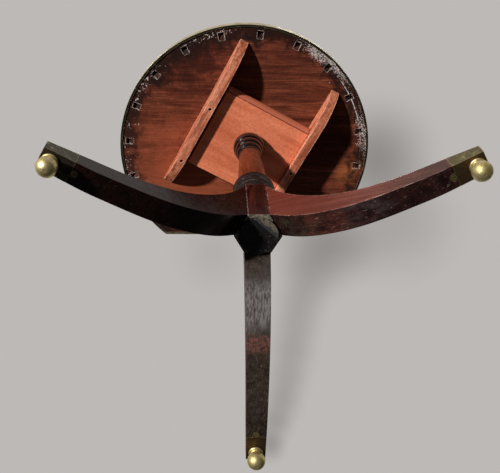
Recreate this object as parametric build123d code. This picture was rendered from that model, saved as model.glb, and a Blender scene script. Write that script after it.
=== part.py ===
from build123d import *
import math
import os

# A tripod table with a round top that is cut straight along one side and tips up on its block.
# Millimetres, +Z up. While the pieces are made the column's axis is the Z axis and the floor is z = 0.
# On export all of them move forward by column_y, so that the origin is the middle of the part's box.
# The top's block, battens and catch are made square to X and Y, and then turned by block_turn.

# Top
underside_height = 700.0
board_thickness = 20.0
top_radius = 302.0
top_centre_x = 8.0
top_centre_y = -21.0
straight_edge_inset = 73.0
block_turn = 28.0

# Brass edging of the top
rim_wall = 2.0
rim_flange_width = 3.5
pocket_width = 14.0
pocket_length = 19.0
pocket_depth = 9.0
pocket_wall = 11.0
pocket_first_angle = -32.8
pocket_step_angle = 18.4
pocket_count = 14
edge_pocket_count = 3
edge_pocket_spacing_share = 0.663
rim_screw_head_radius = 3.6
rim_screw_shank_radius = 1.7
rim_screw_drop = 4.2

# Tipping block and its pins
block_width = 218.0
block_length = 208.0
block_thickness = 33.0
seat_gap = 0.3
pin_radius = 7.0
pin_in_block = 34.0
pin_in_batten = 13.0
pin_running_gap = 0.08
pin_end_gap = 0.5

# Battens
batten_width = 20.0
batten_depth = 50.0
batten_front_gap = 31.0
batten_back_gap = 24.5
batten_tip_depth = 3.0
batten_taper_length = 80.0
batten_left_gap = 8.0
batten_right_gap = 1.0
batten_left_screw_shares = (-0.60, 0.14)
batten_right_screw_shares = (-0.60, -0.10)
batten_taper_mid_share = 0.34
batten_taper_depth_share = 0.57
batten_screw_radius = 2.2
batten_screw_head_radius = 3.8
batten_screw_length = 34.0
batten_screw_bite = 14.0

# Column, from the block downwards
upper_collar_height = 80.0
upper_collar_radius = 37.4
shaft_height = 189.0
shaft_radius = 32.0
lower_collar_height = 67.0
lower_collar_radius = 43.6
upper_tenon_radius = 15.0
lower_tenon_radius = 17.0
lower_tenon_depth = 92.0
collar_groove = 2.6
wedge_thickness = 4.0
wedge_depth = 22.0

# Each ring of a collar, from the bottom up: its share of the collar's height and of its radius
lower_collar_shares = ((0.16, 0.935), (0.24, 0.955), (0.24, 0.97), (0.36, 1.0))
upper_collar_shares = ((0.22, 0.70), (0.24, 0.80), (0.26, 0.90), (0.28, 1.0))
# The rings between a ball foot and the brass above it, in the same way
neck_shares = ((0.45, 0.82), (0.55, 1.0))
# The shaft's outline: shares of its height and of its radius
shaft_shares = ((0.0, 1.0), (0.25, 0.985), (0.48, 0.93), (0.72, 0.85), (1.0, 0.78))

# Hub: a six-sided block with three wide faces for the legs and three narrow free faces
hub_height = 147.0
free_face_width = 39.3
leg_face_width = 50.9
boss_radius = 37.0
boss_edge = 6.0
boss_dome = 1.6
boss_edge_round = 2.0
boss_spigot_radius = 12.0
boss_spigot_length = 20.0

# Legs
leg_angles = {"left": 30.0, "right": 150.0, "front": 270.0}
leg_reach = 405.0
leg_hub_width = 49.0
leg_foot_width = 37.0
leg_top_drop = 5.0
leg_bottom_rise = 3.0
ankle_length = 58.0
ankle_top_height = 77.0
toe_top_height = 66.0
ankle_bottom_height = 40.0
dovetail_depth = 13.0
dovetail_root_width = 20.0
dovetail_tip_width = 28.0
dovetail_shoulder = 14.0
# Points of the leg's upper and lower outline: shares of the way out to the ankle and of the drop to it
leg_top_shares = ((0.085, 0.755), (0.26, 0.435), (0.50, 0.185), (0.76, 0.055))
leg_bottom_shares = ((0.10, 0.745), (0.30, 0.40), (0.53, 0.172), (0.80, 0.045))
# The directions, out and down, in which the two outlines leave the hub
leg_top_start = (0.35, -0.94)
leg_bottom_start = (0.62, -0.78)

# Brass leg ends and ball feet
sabot_wall = 2.0
sabot_length = 53.0
sabot_tongue_radius = 6.5
sabot_tongue_reach = 5.0
sabot_screw_head_radius = 4.4
sabot_screw_radius = 2.0
sabot_screw_length = 14.0
ball_radius = 17.0
ball_pad_depth = 0.4
ball_inset = 17.0
neck_radius = 8.0
neck_ring_radius = 14.0
neck_groove = 1.3
neck_overlap = 1.5
stud_radius = 4.0
stud_length = 14.0

# Sliding catch under the top, and its keeper on the block's edge
catch_offset = -45.0
catch_plate_length = 62.0
catch_plate_width = 36.0
catch_plate_thickness = 2.0
catch_guide_length = 40.0
catch_guide_width = 18.0
catch_guide_below_bolt = 7.0
catch_stand_off = 6.0
bolt_radius = 4.0
bolt_running_gap = 0.08
bolt_travel = 10.0
bolt_tip_gap = 1.5
bolt_tail = 14.0
knob_radius = 7.0
knob_thickness = 6.0
keeper_width = 26.0
keeper_height = 24.0
keeper_thickness = 2.0
keeper_hole_gap = 0.6
catch_screw_radius = 1.5
catch_screw_head_radius = 3.0
catch_screw_length = 12.0
catch_screw_inset = 4.2

# General
overrun = 5.0
slot_share = 0.22
slot_depth_share = 0.35
point_share = 0.3
countersink_share = 0.75

# Places that follow from the sizes above
board_top = underside_height + board_thickness
board_radius = top_radius - rim_wall
straight_edge_distance = top_radius - straight_edge_inset
board_edge_distance = straight_edge_distance - rim_wall
clear_radius = board_radius - rim_flange_width
clear_edge_distance = board_edge_distance - rim_flange_width
half_edge = math.sqrt(board_radius ** 2 - board_edge_distance ** 2)
block_top = underside_height - seat_gap
block_bottom = block_top - block_thickness
pivot_radius = block_thickness / 2
pivot_height = block_top - pivot_radius
pivot_offset = block_length / 2 - pivot_radius
shaft_top = block_bottom - upper_collar_height
shaft_bottom = shaft_top - shaft_height
hub_top = shaft_bottom - lower_collar_height
hub_bottom = hub_top - hub_height
leg_face_distance = (2 * free_face_width + leg_face_width) / (2 * math.sqrt(3))
leg_top = hub_top - leg_top_drop
leg_bottom = hub_bottom + leg_bottom_rise
ankle_start = leg_reach - ankle_length
ball_distance = leg_reach - ball_inset
batten_low = underside_height - batten_depth
left_batten_inner = block_width / 2 + batten_left_gap
right_batten_inner = -block_width / 2 - batten_right_gap
left_batten_outer = left_batten_inner + batten_width
right_batten_outer = right_batten_inner - batten_width
turn_sine = math.sin(math.radians(block_turn))
turn_cosine = math.cos(math.radians(block_turn))
# The middle of the round top, seen square to the block
top_middle_x = top_centre_x * turn_cosine + top_centre_y * turn_sine
top_middle_y = top_centre_y * turn_cosine - top_centre_x * turn_sine
# The battens stop short of the brass: the left one nears the round side in front,
# and the right one nears the straight side behind
left_chord = math.sqrt(clear_radius ** 2 - (left_batten_outer - top_middle_x) ** 2)
right_chord = (clear_edge_distance + turn_sine * (right_batten_outer - top_middle_x)) / turn_cosine
batten_front = top_middle_y + left_chord - batten_front_gap
batten_back = top_middle_y - right_chord + batten_back_gap
batten_middle = (batten_front + batten_back) / 2
sabot_start = leg_reach - sabot_length
front_of_top = top_centre_y + top_radius
back_of_feet = -leg_reach
column_y = -(front_of_top + back_of_feet) / 2
stand = Pos(0, column_y, 0)
turned_top = stand * Rot(0, 0, block_turn)


def cylinder(radius, low, high, x=0.0, y=0.0):
    """An upright cylinder between two heights."""
    return Pos(x, y, low) * Cylinder(radius, high - low, align=(Align.CENTER, Align.CENTER, Align.MIN))


def slab(x0, x1, y0, y1, z0, z1):
    """A box between two corners."""
    size = Box(x1 - x0, y1 - y0, z1 - z0, align=(Align.MIN, Align.MIN, Align.MIN))
    return Pos(x0, y0, z0) * size


def screw(head_radius, shank_radius, length, domed=False):
    """A slotted screw that points down, with its head's rim at z = 0 and its shank below."""
    head_height = head_radius * countersink_share
    point = length * point_share
    with BuildPart() as whole:
        with BuildSketch(Plane.XZ):
            with BuildLine():
                if domed:
                    Line((0, head_height), (0, -length))
                    Line((0, -length), (shank_radius, -length + point))
                    Line((shank_radius, -length + point), (shank_radius, 0))
                    Line((shank_radius, 0), (head_radius, 0))
                    RadiusArc((head_radius, 0), (0, head_height), -head_radius * (1 + slot_share))
                else:
                    Polyline(
                        (0, 0),
                        (0, -length),
                        (shank_radius, -length + point),
                        (shank_radius, -head_height),
                        (head_radius, 0),
                        close=True,
                    )
            make_face()
        revolve(axis=Axis.Z)
    top = head_height if domed else 0
    width = head_radius * slot_share
    slot_floor = top - head_height * slot_depth_share
    slot = slab(-width, width, -2 * head_radius, 2 * head_radius, slot_floor, top + head_height)
    return whole.part - slot


def place(part, x, y, z, direction):
    """Turn a screw's head to face along direction and put the head's rim at a point."""
    plane = Plane(origin=(x, y, z), z_dir=direction)
    return plane.location * part


def ring_stack(bottom, height, radius, bore, groove, shares):
    """A turned collar with one half-round ring above another and a plain bore."""
    with BuildPart() as whole:
        with BuildSketch(Plane.XZ):
            with BuildLine():
                low = bottom
                ring_radius = radius * shares[0][1]
                Line((bore, bottom), (ring_radius - groove, bottom))
                for index, (height_share, radius_share) in enumerate(shares):
                    high = low + height * height_share
                    ring_radius = radius * radius_share
                    root = ring_radius - groove
                    ThreePointArc((root, low), (ring_radius, (low + high) / 2), (root, high))
                    if index + 1 < len(shares):
                        next_root = radius * shares[index + 1][1] - groove
                        Line((root, high), (next_root, high))
                    low = high
                Line((root, low), (bore, low))
                Line((bore, low), (bore, bottom))
            make_face()
        revolve(axis=Axis.Z)
    return whole.part


def top_outline(radius, edge_distance, low, high):
    """The round top with one straight side, between two heights."""
    disc = cylinder(radius, low, high, top_centre_x, top_centre_y)
    edge = top_centre_y - edge_distance
    left = top_centre_x - top_radius - overrun
    right = top_centre_x + top_radius + overrun
    back = top_centre_y - top_radius - overrun
    return disc - slab(left, right, back, edge, low - overrun, high + overrun)


def pocket_frames():
    """Each pocket's outward direction and the point on the board's edge that it faces."""
    frames = []
    for index in range(pocket_count):
        angle = math.radians(pocket_first_angle + index * pocket_step_angle)
        out = (math.cos(angle), math.sin(angle))
        point = (top_centre_x + board_radius * out[0], top_centre_y + board_radius * out[1])
        frames.append((out, point))
    for index in range(edge_pocket_count):
        step = index - (edge_pocket_count - 1) / 2
        x = top_centre_x + step * half_edge * edge_pocket_spacing_share
        frames.append(((0, -1), (x, top_centre_y - board_edge_distance)))
    return frames


def ramped_pocket(start, side):
    """A pocket under the board, deepest at its screw and running out towards the middle of the top."""
    wall = -pocket_wall
    outline = Polyline((wall, -overrun), (wall, pocket_depth), (start, 0), (start, -overrun), close=True)
    return extrude(make_face(Plane.XZ * outline), side, both=True)


def make_top():
    """The board, its brass edging and the screws that hold the edging on."""
    board = top_outline(board_radius, board_edge_distance, underside_height, board_top)
    band = top_outline(top_radius, straight_edge_distance, underside_height, board_top) - board
    flange_low = underside_height - rim_wall
    flange = top_outline(top_radius, straight_edge_distance, flange_low, underside_height)
    flange -= top_outline(clear_radius, clear_edge_distance, flange_low - overrun, board_top)
    rim = band + flange
    pockets = []
    screws = []
    screw_height = underside_height + rim_screw_drop
    screw_length = pocket_wall + rim_wall / 2
    for out, point in pocket_frames():
        origin = (point[0], point[1], underside_height)
        plane = Plane(origin=origin, x_dir=(out[0], out[1], 0), z_dir=(0, 0, 1))
        start = -pocket_wall - pocket_length
        side = pocket_width / 2
        pocket = plane.location * ramped_pocket(start, side)
        mouth = plane.location * slab(start, -rim_wall, -side, side, -overrun, 0)
        pockets.append(pocket)
        head_x = point[0] - pocket_wall * out[0]
        head_y = point[1] - pocket_wall * out[1]
        one = screw(rim_screw_head_radius, rim_screw_shank_radius, screw_length, domed=True)
        screws.append(place(one, head_x, head_y, screw_height, (-out[0], -out[1], 0)))
        rim -= mouth
    for pocket in pockets:
        board -= pocket
    for one in screws:
        board -= one
        rim -= one
    split = top_centre_y - clear_edge_distance
    far = top_radius + overrun
    left = top_centre_x - far
    right = top_centre_x + far
    front = slab(left, right, split, top_centre_y + far, flange_low - overrun, board_top + overrun)
    back = slab(left, right, split - far, split, flange_low - overrun, board_top + overrun)
    return board, rim & front, rim & back, screws


def make_block():
    """The tipping block: half round along its pivot edge, with a mortise for the column's tenon."""
    side = block_width / 2
    flat = slab(-side, side, -block_length / 2, pivot_offset, block_bottom, block_top)
    roll = Pos(0, pivot_offset, pivot_height) * Rot(0, 90, 0) * Cylinder(pivot_radius, block_width)
    block = flat + roll
    return block - cylinder(upper_tenon_radius, block_bottom - overrun, block_top + overrun)


def make_pin(inner_face, sign):
    """A pivot pin, fixed in the block and free in the batten."""
    start = sign * (block_width / 2 - pin_in_block)
    end = inner_face + sign * pin_in_batten
    middle = Pos((start + end) / 2, pivot_offset, pivot_height)
    return middle * Rot(0, 90, 0) * Cylinder(pin_radius, abs(end - start))


def make_batten(inner_face, sign, screw_shares):
    """A batten with tapered ends, the blind hole for its pin and deep holes for its screws."""
    outer_face = inner_face + sign * batten_width
    tip = underside_height - batten_tip_depth
    mid_run = batten_taper_length * batten_taper_mid_share
    mid_drop = tip - (batten_depth - batten_tip_depth) * batten_taper_depth_share
    with BuildPart() as whole:
        with BuildSketch(Plane.YZ.offset(min(inner_face, outer_face))):
            with BuildLine():
                Line((batten_back, underside_height), (batten_front, underside_height))
                Line((batten_front, underside_height), (batten_front, tip))
                front_end = (batten_front - batten_taper_length, batten_low)
                back_end = (batten_back + batten_taper_length, batten_low)
                ThreePointArc((batten_front, tip), (batten_front - mid_run, mid_drop), front_end)
                Line(front_end, back_end)
                ThreePointArc(back_end, (batten_back + mid_run, mid_drop), (batten_back, tip))
                Line((batten_back, tip), (batten_back, underside_height))
            make_face()
        extrude(amount=batten_width)
    batten = whole.part
    hole_length = pin_in_batten + pin_end_gap
    hole_centre = inner_face + sign * (hole_length - overrun) / 2
    hole = Rot(0, 90, 0) * Cylinder(pin_radius + pin_running_gap, hole_length + overrun)
    batten -= Pos(hole_centre, pivot_offset, pivot_height) * hole
    screws = []
    middle = (inner_face + outer_face) / 2
    head_height = underside_height - (batten_screw_length - batten_screw_bite)
    for share in screw_shares:
        y = batten_middle + share * (batten_front - batten_back) / 2
        one = screw(batten_screw_head_radius, batten_screw_radius, batten_screw_length)
        screws.append(place(one, middle, y, head_height, (0, 0, -1)))
        batten -= cylinder(batten_screw_head_radius, batten_low - overrun, head_height, middle, y)
    for one in screws:
        batten -= one
    return batten, screws


def make_shaft():
    """The turned shaft, with one tenon down through the lower collar and one up through the block."""
    with BuildPart() as whole:
        with BuildSketch(Plane.XZ):
            with BuildLine():
                points = []
                for height_share, radius_share in shaft_shares:
                    points.append((shaft_radius * radius_share, shaft_bottom + shaft_height * height_share))
                outline = Spline(*points)
                Polyline(outline @ 1, (0, shaft_top), (0, shaft_bottom), outline @ 0)
            make_face()
        revolve(axis=Axis.Z)
    shaft = whole.part
    shaft += cylinder(lower_tenon_radius, hub_top - lower_tenon_depth, shaft_bottom)
    return shaft + cylinder(upper_tenon_radius, shaft_top, block_top)


def make_wedge():
    """The wedge that spreads the upper tenon in the block."""
    half = wedge_thickness / 2
    side = math.sqrt(upper_tenon_radius ** 2 - half ** 2)
    with BuildPart() as whole:
        with BuildSketch(Plane.YZ.offset(-side)):
            with BuildLine():
                Polyline((-half, block_top), (half, block_top), (0, block_top - wedge_depth), close=True)
            make_face()
        extrude(amount=2 * side)
    return whole.part


def hub_corners():
    """The six corners of the hub: a leg face looks along +X, the next free face is 60 degrees on."""
    corners = []
    for index in range(3):
        turn = math.radians(120 * index)
        for side in (-1, 1):
            x = leg_face_distance
            y = side * leg_face_width / 2
            corner_x = x * math.cos(turn) - y * math.sin(turn)
            corner_y = x * math.sin(turn) + y * math.cos(turn)
            corners.append((corner_x, corner_y))
    return corners


def dovetail(low, high):
    """The tongue on a leg along +X, which slides up into the hub."""
    face = leg_face_distance
    root = dovetail_root_width / 2
    tip = dovetail_tip_width / 2
    back = face - dovetail_depth
    outline = Polyline((face, -root), (back, -tip), (back, tip), (face, root), close=True)
    return Pos(0, 0, low) * extrude(make_face(outline), high - low)


def plan_taper(start, end, extra):
    """The leg seen from above, narrowing from the hub to the foot, as a tall solid."""
    run = leg_reach - leg_face_distance
    slope = (leg_foot_width - leg_hub_width) / run
    near = (leg_hub_width + slope * (start - leg_face_distance)) / 2 + extra
    far = (leg_hub_width + slope * (end - leg_face_distance)) / 2 + extra
    outline = Polyline((start, -near), (end, -far), (end, far), (start, near), close=True)
    return extrude(make_face(outline), hub_top)


def make_leg():
    """A leg along +X: curved from the hub to the ankle and straight in the brass end."""
    run = ankle_start - leg_face_distance
    top_drop = leg_top - ankle_top_height
    bottom_drop = leg_bottom - ankle_bottom_height
    top_points = [(leg_face_distance, leg_top)]
    for run_share, drop_share in leg_top_shares:
        height = ankle_top_height + top_drop * drop_share
        top_points.append((leg_face_distance + run * run_share, height))
    top_points.append((ankle_start, ankle_top_height))
    bottom_points = [(leg_face_distance, leg_bottom)]
    for run_share, drop_share in leg_bottom_shares:
        height = ankle_bottom_height + bottom_drop * drop_share
        bottom_points.append((leg_face_distance + run * run_share, height))
    bottom_points.append((ankle_start, ankle_bottom_height))
    toe_slope = (ankle_length, toe_top_height - ankle_top_height)
    with BuildPart() as whole:
        with BuildSketch(Plane.XZ):
            with BuildLine():
                Spline(*top_points, tangents=(leg_top_start, toe_slope))
                Line(top_points[-1], (leg_reach, toe_top_height))
                Line((leg_reach, toe_top_height), (leg_reach, ankle_bottom_height))
                Line((leg_reach, ankle_bottom_height), bottom_points[-1])
                Spline(*bottom_points, tangents=(leg_bottom_start, (ankle_length, 0)))
                Line(bottom_points[0], top_points[0])
            make_face()
        extrude(amount=leg_hub_width, both=True)
    leg = whole.part & plan_taper(leg_face_distance, sabot_start, 0)
    leg += toe_block(sabot_start - overrun, sabot_wall)
    leg += dovetail(leg_bottom, leg_top - dovetail_shoulder)
    return leg - cylinder(stud_radius, 0, ankle_bottom_height + stud_length, ball_distance)


def toe_block(start, inset):
    """The straight end of a leg along +X from a place near the ankle, smaller by an inset all round."""
    slope = (toe_top_height - ankle_top_height) / ankle_length
    end = leg_reach - inset
    low = ankle_bottom_height + inset
    start_top = ankle_top_height + slope * (start - ankle_start) - inset
    end_top = toe_top_height - slope * inset - inset
    outline = Polyline((start, low), (end, low), (end, end_top), (start, start_top), close=True)
    block = extrude(make_face(Plane.XZ * outline), leg_hub_width, both=True)
    return block & plan_taper(start, end, -inset)


def make_sabot(leg):
    """The brass box over the end of a leg along +X, flush with the wood, with a tongue under it."""
    plate_top = ankle_bottom_height + sabot_wall
    tongue_end = sabot_start - sabot_tongue_reach
    side = sabot_tongue_radius
    tongue = slab(tongue_end, sabot_start + sabot_wall, -side, side, ankle_bottom_height, plate_top)
    tongue += cylinder(side, ankle_bottom_height, plate_top, tongue_end)
    hole = cylinder(stud_radius, 0, ankle_bottom_height + stud_length, ball_distance)
    return leg - tongue, toe_block(sabot_start, 0) + tongue - (leg - tongue) - hole


def make_foot():
    """The ball foot with the rings of its neck and the stud that screws up into the leg."""
    centre = ball_radius - ball_pad_depth
    seat = ankle_bottom_height
    ball = Pos(ball_distance, 0, centre) * Sphere(ball_radius)
    ball -= cylinder(ball_radius, -ball_radius, 0, ball_distance)
    neck_low = centre + ball_radius - neck_overlap
    rings = ring_stack(neck_low, seat - neck_low, neck_ring_radius, stud_radius, neck_groove, neck_shares)
    neck = cylinder(neck_radius, centre, seat, ball_distance)
    stud = cylinder(stud_radius, seat, seat + stud_length, ball_distance)
    return ball + neck + Pos(ball_distance, 0, 0) * rings + stud


def sabot_screw():
    """The screw that holds the tongue of the brass end to the underside of a leg along +X."""
    one = screw(sabot_screw_head_radius, sabot_screw_radius, sabot_screw_length)
    return place(one, sabot_start - sabot_tongue_reach, 0, ankle_bottom_height, (0, 0, -1))


def make_boss():
    """The turned cap under the hub."""
    low = hub_bottom - boss_edge
    disc = cylinder(boss_radius, low, hub_bottom)
    dome_radius = (boss_radius ** 2 + boss_dome ** 2) / (2 * boss_dome)
    dome = Pos(0, 0, low - boss_dome + dome_radius) * Sphere(dome_radius)
    dome &= cylinder(boss_radius, low - boss_dome, low)
    boss = disc + dome
    boss = fillet(boss.edges().filter_by(GeomType.CIRCLE).group_by(Axis.Z)[-1], boss_edge_round)
    return boss + cylinder(boss_spigot_radius, hub_bottom, hub_bottom + boss_spigot_length)


def make_catch():
    """The catch's plate with its guide, the bolt with its knob, the keeper and their screws."""
    x = catch_offset
    edge = -block_length / 2
    keeper_face = edge - keeper_thickness
    tip = keeper_face - bolt_tip_gap
    front = keeper_face - catch_stand_off
    rear = front - catch_guide_length
    plate_high = underside_height
    plate_low = plate_high - catch_plate_thickness
    plate_front = front + (catch_stand_off - bolt_tip_gap) / 2
    plate_rear = plate_front - catch_plate_length
    half = catch_plate_width / 2
    guide_low = pivot_height - catch_guide_below_bolt
    plate = slab(x - half, x + half, plate_rear, plate_front, plate_low, plate_high)
    plate += slab(x - catch_guide_width / 2, x + catch_guide_width / 2, rear, front, guide_low, plate_low)
    bore = Pos(x, (front + rear) / 2, pivot_height) * Rot(90, 0, 0)
    plate -= bore * Cylinder(bolt_radius + bolt_running_gap, catch_guide_length + 2 * overrun)
    tail = rear - bolt_tail
    bolt = Pos(x, (tip + tail) / 2, pivot_height) * Rot(90, 0, 0) * Cylinder(bolt_radius, tip - tail)
    knob = Pos(x, tail - knob_thickness / 2, pivot_height) * Rot(90, 0, 0)
    bolt += knob * Cylinder(knob_radius, knob_thickness)
    keeper_low = pivot_height - keeper_height / 2
    keeper_side = keeper_width / 2
    keeper_high = keeper_low + keeper_height
    keeper = slab(x - keeper_side, x + keeper_side, keeper_face, edge, keeper_low, keeper_high)
    hole_depth = bolt_travel - bolt_tip_gap + overrun
    hole = Pos(x, keeper_face - overrun + hole_depth / 2, pivot_height) * Rot(90, 0, 0)
    hole *= Cylinder(bolt_radius + keeper_hole_gap, hole_depth + overrun)
    keeper -= hole
    one = screw(catch_screw_head_radius, catch_screw_radius, catch_screw_length)
    plate_screws = []
    for side in (-1, 1):
        screw_x = x + side * (half - catch_screw_inset)
        for y in (plate_rear + catch_screw_inset, plate_front - catch_screw_inset):
            plate_screws.append(place(one, screw_x, y, plate_low, (0, 0, -1)))
    keeper_screws = []
    for side in (-1, 1):
        screw_x = x + side * (keeper_side - catch_screw_inset)
        keeper_screws.append(place(one, screw_x, keeper_face, pivot_height, (0, -1, 0)))
    for part in plate_screws:
        plate -= part
    for part in keeper_screws:
        keeper -= part
    return plate, plate_screws, bolt, keeper, keeper_screws, hole


def save(name, solids, move):
    """Write one node: a single solid, or a group of separate ones."""
    moved = [move * solid for solid in solids]
    shape = moved[0] if len(moved) == 1 else Compound(children=moved)
    export_step(shape, "parts/" + name + ".step")


os.makedirs("parts", exist_ok=True)

board, rim_arc, rim_edge, rim_screws = make_top()
block = make_block()
left_batten, left_screws = make_batten(left_batten_inner, 1, batten_left_screw_shares)
right_batten, right_screws = make_batten(right_batten_inner, -1, batten_right_screw_shares)
left_pin = make_pin(left_batten_inner, 1)
right_pin = make_pin(right_batten_inner, -1)
block -= left_pin
block -= right_pin
catch_plate, plate_screws, bolt, keeper, keeper_screws, keeper_hole = make_catch()
block -= keeper_hole
for part in keeper_screws:
    block -= part
# The board isn't turned with its block, battens and catch, so their screws are turned to where they bite it
turn = Rot(0, 0, block_turn)
for part in left_screws + right_screws + plate_screws:
    board -= turn * part

shaft = make_shaft()
wedge = make_wedge()
shaft -= wedge
upper_sizes = (upper_collar_height, upper_collar_radius, upper_tenon_radius, collar_groove)
upper_collar = ring_stack(shaft_top, *upper_sizes, upper_collar_shares)
lower_sizes = (lower_collar_height, lower_collar_radius, lower_tenon_radius, collar_groove)
lower_collar = ring_stack(hub_top, *lower_sizes, lower_collar_shares)

hub = Pos(0, 0, hub_bottom) * extrude(make_face(Polyline(*hub_corners(), close=True)), hub_height)
hub = Rot(0, 0, leg_angles["left"]) * hub
hub -= cylinder(lower_tenon_radius, hub_top - lower_tenon_depth, hub_top + overrun)
boss = make_boss()
hub -= cylinder(boss_spigot_radius, hub_bottom - overrun, hub_bottom + boss_spigot_length)
socket = dovetail(hub_bottom, leg_top - dovetail_shoulder)
for angle in leg_angles.values():
    hub -= Rot(0, 0, angle) * socket

leg, sabot = make_sabot(make_leg())
foot = make_foot()
tongue_screw = sabot_screw()
leg -= tongue_screw
sabot -= tongue_screw

save("top_board", [board], stand)
save("rim_arc", [rim_arc], stand)
save("rim_straight", [rim_edge], stand)
save("rim_screws", rim_screws, stand)
save("batten_left", [left_batten], turned_top)
save("batten_right", [right_batten], turned_top)
save("batten_screws", left_screws + right_screws, turned_top)
save("pivot_block", [block], turned_top)
save("pivot_pin_left", [left_pin], turned_top)
save("pivot_pin_right", [right_pin], turned_top)
save("catch_plate", [catch_plate], turned_top)
save("catch_plate_screws", plate_screws, turned_top)
save("catch_bolt", [bolt], turned_top)
save("catch_keeper", [keeper], turned_top)
save("catch_keeper_screws", keeper_screws, turned_top)
save("column_shaft", [shaft], stand)
save("tenon_wedge", [wedge], stand)
save("upper_collar", [upper_collar], stand)
save("lower_collar", [lower_collar], stand)
save("hub", [hub], stand)
save("base_boss", [boss], stand)
tongue_screws = []
for name, angle in leg_angles.items():
    around = Rot(0, 0, angle)
    save("leg_" + name, [around * leg], stand)
    save("sabot_" + name, [around * sabot], stand)
    save("ball_foot_" + name, [around * foot], stand)
    tongue_screws.append(around * tongue_screw)
save("sabot_screws", tongue_screws, stand)

print("column y", round(column_y, 3))
print("hub from", round(hub_bottom, 2), "to", round(hub_top, 2))
print("shaft from", round(shaft_bottom, 2), "to", round(shaft_top, 2))
print("battens from", round(batten_back, 2), "to", round(batten_front, 2))
print("pivot: offset", round(pivot_offset, 3), "height", round(pivot_height, 3))
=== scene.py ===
"""The looks of the tripod table: its finishes, the light and the camera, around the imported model."""

import logging
import math
from dataclasses import dataclass, field, replace
from enum import Enum
from functools import reduce

import bpy
from mathutils import Matrix, Vector


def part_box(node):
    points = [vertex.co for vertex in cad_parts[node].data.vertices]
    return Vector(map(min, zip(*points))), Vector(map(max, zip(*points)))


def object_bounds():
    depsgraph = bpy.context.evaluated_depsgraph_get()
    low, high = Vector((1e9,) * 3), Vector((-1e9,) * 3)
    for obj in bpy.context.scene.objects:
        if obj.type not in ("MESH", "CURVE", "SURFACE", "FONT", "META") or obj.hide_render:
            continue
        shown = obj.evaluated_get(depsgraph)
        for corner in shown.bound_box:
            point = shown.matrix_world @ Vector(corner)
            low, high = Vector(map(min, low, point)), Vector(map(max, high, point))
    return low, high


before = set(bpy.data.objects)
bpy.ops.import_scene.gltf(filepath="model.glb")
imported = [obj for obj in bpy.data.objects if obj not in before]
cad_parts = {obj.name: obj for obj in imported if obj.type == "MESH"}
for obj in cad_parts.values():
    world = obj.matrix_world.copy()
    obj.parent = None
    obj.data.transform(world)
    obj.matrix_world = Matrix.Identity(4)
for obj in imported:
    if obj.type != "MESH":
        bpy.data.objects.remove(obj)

Socket = bpy.types.NodeSocket
Value = float | Socket
Colour = tuple[float, float, float]
Place = tuple[float, float, float]
Pair = tuple[float, float]
BLACK: Colour = (0.0, 0.0, 0.0)

CAD_LOW, CAD_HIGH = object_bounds()
NODES: dict[str, bpy.types.Object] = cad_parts
LOG = logging.getLogger("tripod_table")

# The photograph's width in pixels, and the width of the camera's sensor in millimetres
PHOTO_WIDTH = 500
SENSOR_WIDTH = 36.0

# How far from the middle of a thin painted line on the wood, of shade on the block and of highlight on the
# board, it has faded out, and how far it is still whole, in metres
LINE_FADE = (0.0016, 0.0006)

# How the arrises are rounded: points that are one, faces that are one and arrises that are sharp
SAME_POINT = 0.00001
SAME_FACE = math.radians(0.4)
SHARP_ARRIS = math.radians(38)
ARRIS_SEGMENTS = 2

# How far the rounded normal agrees with the flat one where a pale arris mark of wear and painted highlight
# starts, and where it is full
ARRIS_FACING = (0.996, 0.94)


def tone(red: int, green: int, blue: int) -> Colour:
    """Turn a colour as a screen shows it into the linear light that shaders use.

    Args:
        red: The red part, from 0 to 255.
        green: The green part, from 0 to 255.
        blue: The blue part, from 0 to 255.

    Returns:
        The colour's linear parts, from 0 to 1.
    """
    shares = [part / 255 for part in (red, green, blue)]
    return tuple(share / 12.92 if share <= 0.04045 else ((share + 0.055) / 1.055) ** 2.4 for share in shares)


class Grain(Enum):
    """The direction in which the wood of a piece grows."""

    ACROSS_ROOM = (1.0, 0.0, 0.0)
    UPRIGHT = (0.0, 0.0, 1.0)
    ALONG_PINS = (0.883, 0.469, 0.0)
    ALONG_BATTENS = (-0.469, 0.883, 0.0)
    LEFT_LEG = (0.77, 0.45, -0.45)
    RIGHT_LEG = (-0.77, 0.45, -0.45)
    FRONT_LEG = (0.0, -0.89, -0.45)

    def direction(self) -> Vector:
        """Return the direction as a unit vector."""
        return Vector(self.value).normalized()


@dataclass(frozen=True)
class Waves:
    """A cloudy noise: its waves a metre, for all axes or for each, its finer layers and its warp."""

    scale: float | Place
    detail: float = 3.0
    roughness: float = 0.55
    distortion: float = 0.0


# How the grain of a board wanders
WANDER = Waves((4.0, 11.0, 11.0), 2.0, 0.5)


@dataclass
class Layers:
    """What a finish has worked out so far: its colour, roughness, height and the polish over it."""

    colour: Socket
    roughness: Socket
    height: Socket
    polish: Value = 0.0


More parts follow.
